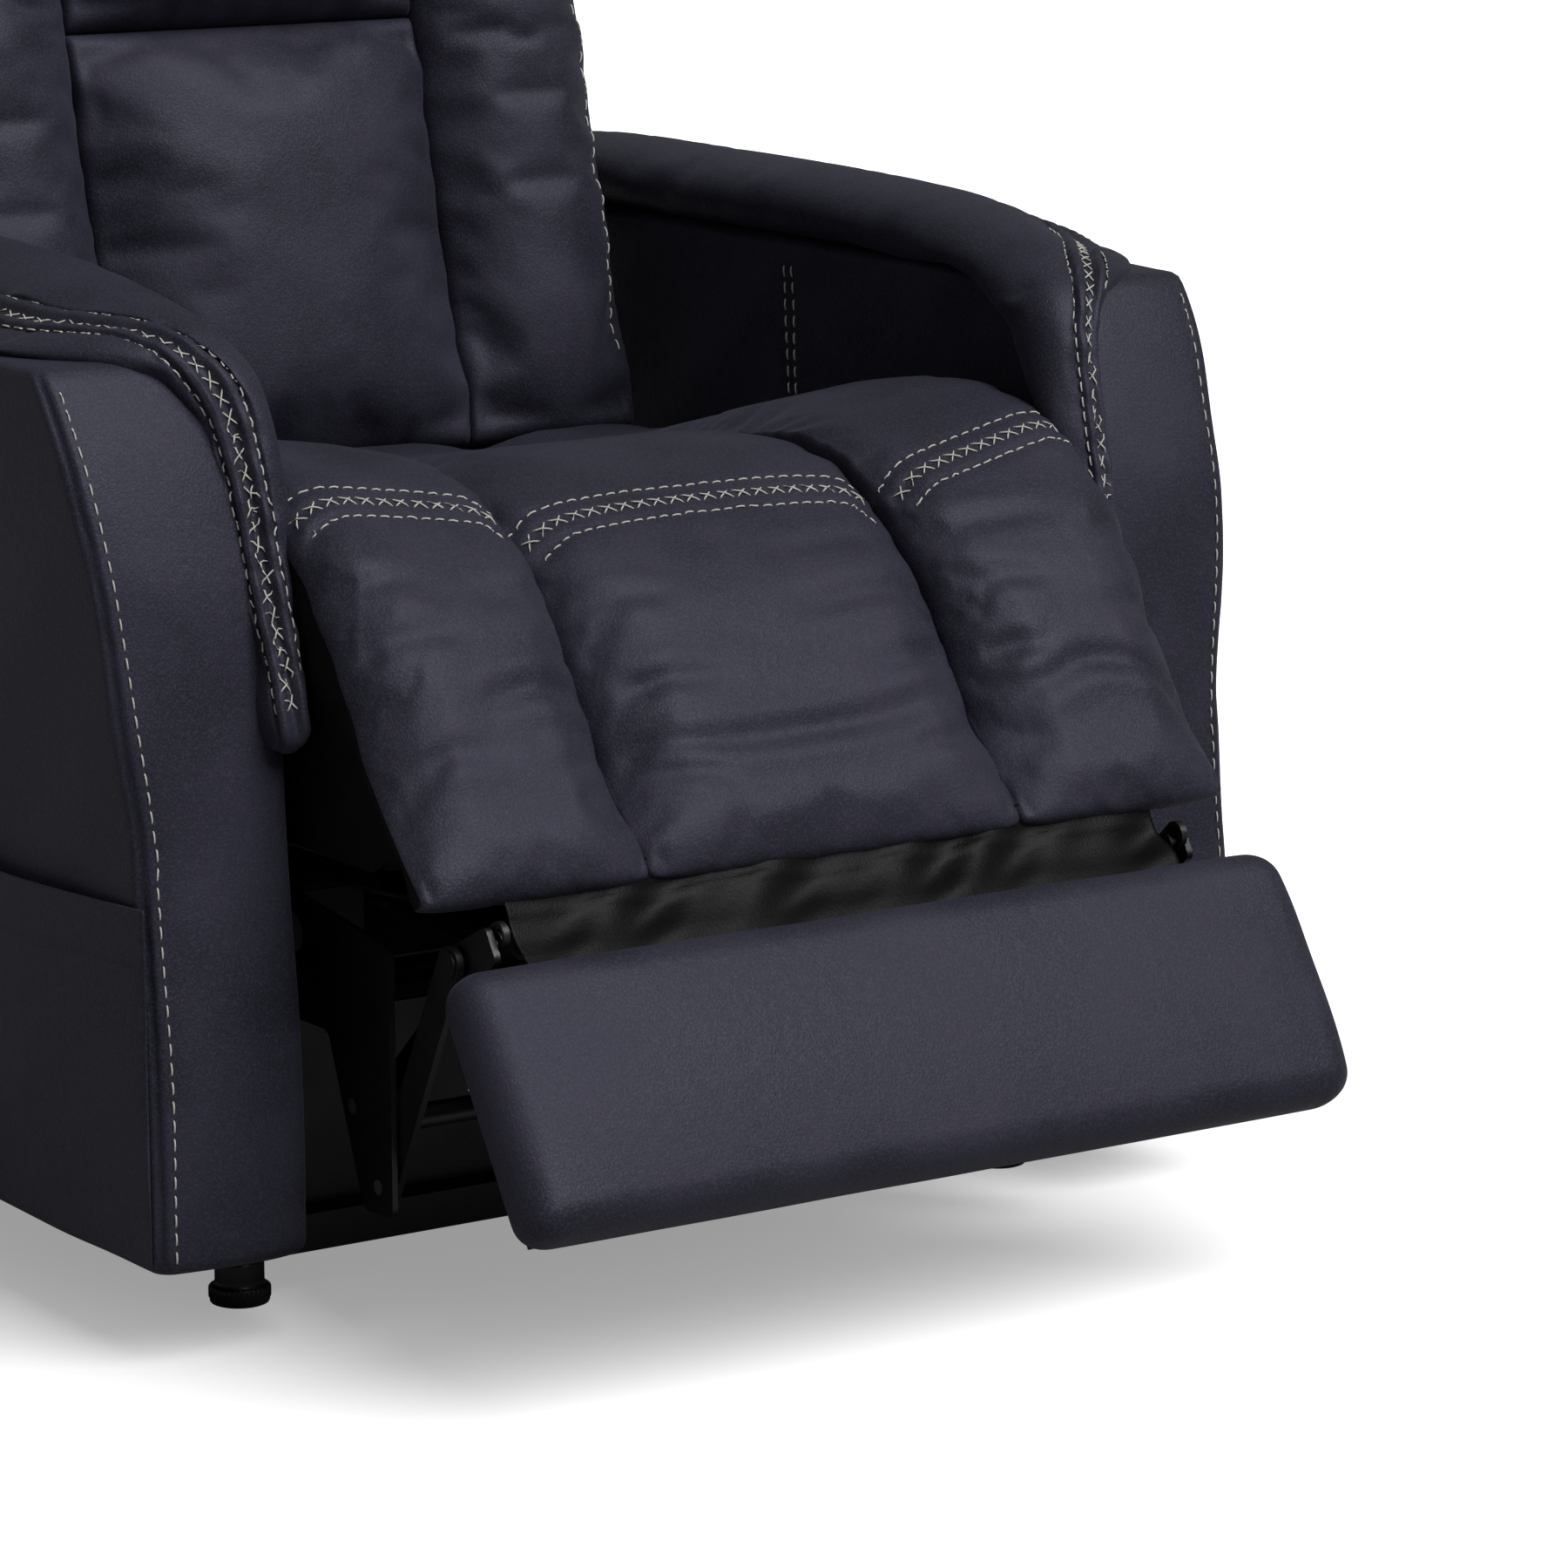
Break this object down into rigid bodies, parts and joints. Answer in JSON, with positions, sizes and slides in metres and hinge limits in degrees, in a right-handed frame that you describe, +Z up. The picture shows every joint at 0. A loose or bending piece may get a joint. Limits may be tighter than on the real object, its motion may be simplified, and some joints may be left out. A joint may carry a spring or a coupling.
{
  "type": "lift recliner chair",
  "caption": "Upholstered powered recliner whose floor base, link mechanism and actuators lift the seat, open the footrest and lower the back.",
  "frame": {"origin": "middle of the chair's footprint, on the floor under the levelling feet", "axes": "+Z up, -Y towards the footrest, +X towards the sitter's left"},
  "size_m": [0.872, 1.1161, 1.0664],
  "materials": {
    "upholstery": "soft matte grain",
    "cloth": "woven",
    "wood": "unfinished plywood",
    "plastic": "fine texture",
    "button": "matte",
    "nylon": "satin",
    "steel": "zinc plated",
    "frame_paint": "satin black"
  },
  "bodies": {
    "base": {"front_rail": "frame_paint", "rear_rail": "frame_paint", "side_rail_left": "frame_paint", "side_rail_right": "frame_paint", "rail_end_caps": "plastic", "levelling_feet": "plastic", "front_riser_plate": "frame_paint", "base_pivot_pins": "steel"},
    "rear_links": {"rear_lift_link_left": "frame_paint", "rear_lift_link_right": "frame_paint", "lift_link_tube": "frame_paint"},
    "front_links": {"front_lift_link_left": "frame_paint", "front_lift_link_right": "frame_paint"},
    "chassis": {"chassis_plate_left": "frame_paint", "chassis_plate_right": "frame_paint", "push_tube": "frame_paint", "chassis_pivot_pins": "steel", "nylon_bushes": "nylon", "seat_frame": "wood", "seat_webbing": "cloth", "seat_centre_panel": "upholstery", "seat_side_panel_left": "upholstery", "seat_side_panel_right": "upholstery", "arm_left": "upholstery", "arm_right": "upholstery", "arm_pad_left": "upholstery", "arm_pad_right": "upholstery", "arm_brackets": "frame_paint", "side_pocket": "upholstery", "back_brackets": "frame_paint", "power_box": "plastic", "power_cable": "plastic", "rear_panel": "upholstery", "handset_case": "plastic", "footrest_flap": "cloth"},
    "back": {"back_frame": "wood", "back_straps": "frame_paint", "back_lever": "frame_paint", "back_shell": "upholstery", "back_lumbar_cushion": "upholstery", "back_head_cushion": "upholstery", "back_side_cushion_left": "upholstery", "back_side_cushion_right": "upholstery"},
    "footrest_frame": {"footrest_swing_frame": "frame_paint"},
    "drag_links": {"footrest_drag_link_left": "frame_paint", "footrest_drag_link_right": "frame_paint"},
    "footrest": {"footrest_bracket_left": "frame_paint", "footrest_bracket_right": "frame_paint", "footrest_board": "wood", "footrest_pad": "upholstery"},
    "lift_housing": {"lift_actuator_housing": "plastic"},
    "lift_rod": {"lift_actuator_rod": "steel"},
    "leg_housing": {"leg_actuator_housing": "plastic"},
    "leg_rod": {"leg_actuator_rod": "steel"},
    "recline_housing": {"recline_actuator_housing": "plastic"},
    "recline_rod": {"recline_actuator_rod": "steel"},
    "lift_button": {"lift_button": "button"},
    "lower_button": {"lower_button": "button"},
    "recline_button": {"recline_button": "button"},
    "upright_button": {"upright_button": "button"}
  },
  "joints": [
    {"name": "lift", "type": "hinge", "parent": "base", "child": "rear_links", "pos_m": [0, -0.123, 0.095], "axis": [1, 0, 0], "range_deg": [0, 50]},
    {"name": "lift_tilt", "type": "hinge", "parent": "rear_links", "child": "chassis", "pos_m": [0, 0.2118, 0.154], "axis": [1, 0, 0], "range_deg": [-25, 0]},
    {"name": "front_links", "type": "hinge", "parent": "base", "child": "front_links", "pos_m": [0, -0.202, 0.085], "axis": [1, 0, 0], "range_deg": [0, 60]},
    {"name": "lift_actuator_swing", "type": "hinge", "parent": "base", "child": "lift_housing", "pos_m": [0, -0.163, 0.1], "axis": [1, 0, 0], "range_deg": [0, 53.6]},
    {"name": "lift_rod", "type": "slide", "parent": "lift_housing", "child": "lift_rod", "axis": [0, 0.7526, 0.6585], "range_m": [0, 0.064]},
    {"name": "footrest", "type": "hinge", "parent": "chassis", "child": "footrest_frame", "pos_m": [0, -0.328, 0.105], "axis": [1, 0, 0], "range_deg": [-15, 27.5]},
    {"name": "footrest_board", "type": "hinge", "parent": "footrest_frame", "child": "footrest", "pos_m": [0, -0.4065, 0.2629], "axis": [-1, 0, 0], "range_deg": [-45, 82.51], "deforming": ["footrest_flap"]},
    {"name": "drag_links", "type": "hinge", "parent": "chassis", "child": "drag_links", "pos_m": [0, -0.2973, 0.1508], "axis": [1, 0, 0], "range_deg": [-8.68, 15.9]},
    {"name": "leg_actuator_swing", "type": "hinge", "parent": "chassis", "child": "leg_housing", "pos_m": [-0.11, -0.003, 0.24], "axis": [-1, 0, 0], "range_deg": [-0.4, 0.7]},
    {"name": "leg_rod", "type": "slide", "parent": "leg_housing", "child": "leg_rod", "axis": [0, -0.9967, -0.0814], "range_m": [-0.0281, 0.0512]},
    {"name": "recline", "type": "hinge", "parent": "chassis", "child": "back", "pos_m": [0, 0.297, 0.4], "axis": [-1, 0, 0], "range_deg": [0, 45]},
    {"name": "recline_actuator_swing", "type": "hinge", "parent": "chassis", "child": "recline_housing", "pos_m": [0.11, -0.003, 0.24], "axis": [1, 0, 0], "range_deg": [0, 0.3]},
    {"name": "recline_rod", "type": "slide", "parent": "recline_housing", "child": "recline_rod", "axis": [0, 0.9787, 0.2052], "range_m": [-0.0775, 0]},
    {"name": "lift_button", "type": "slide", "parent": "chassis", "child": "lift_button", "axis": [1, 0, 0], "range_m": [0, 0.001], "stiffness_N_per_m": 900},
    {"name": "lower_button", "type": "slide", "parent": "chassis", "child": "lower_button", "axis": [1, 0, 0], "range_m": [0, 0.001], "stiffness_N_per_m": 900},
    {"name": "recline_button", "type": "slide", "parent": "chassis", "child": "recline_button", "axis": [1, 0, 0], "range_m": [0, 0.001], "stiffness_N_per_m": 900},
    {"name": "upright_button", "type": "slide", "parent": "chassis", "child": "upright_button", "axis": [1, 0, 0], "range_m": [0, 0.001], "stiffness_N_per_m": 900}
  ],
  "couplings": [
    {"joint": "lift_tilt", "follows": "lift", "ratio": -0.5},
    {"joint": "front_links", "follows": "lift", "ratio": 1.2},
    {"joint": "lift_actuator_swing", "follows": "lift", "ratio": 1.0701},
    {"joint": "lift_rod", "follows": "lift", "m_per_rad": 0.0731},
    {"joint": "footrest_board", "follows": "footrest", "ratio": 3},
    {"joint": "drag_links", "follows": "footrest", "ratio": 0.578},
    {"joint": "leg_actuator_swing", "follows": "footrest", "ratio": 0.024},
    {"joint": "leg_rod", "follows": "footrest", "m_per_rad": 0.106},
    {"joint": "recline_actuator_swing", "follows": "recline", "ratio": 0.0044},
    {"joint": "recline_rod", "follows": "recline", "m_per_rad": -0.0986}
  ]
}
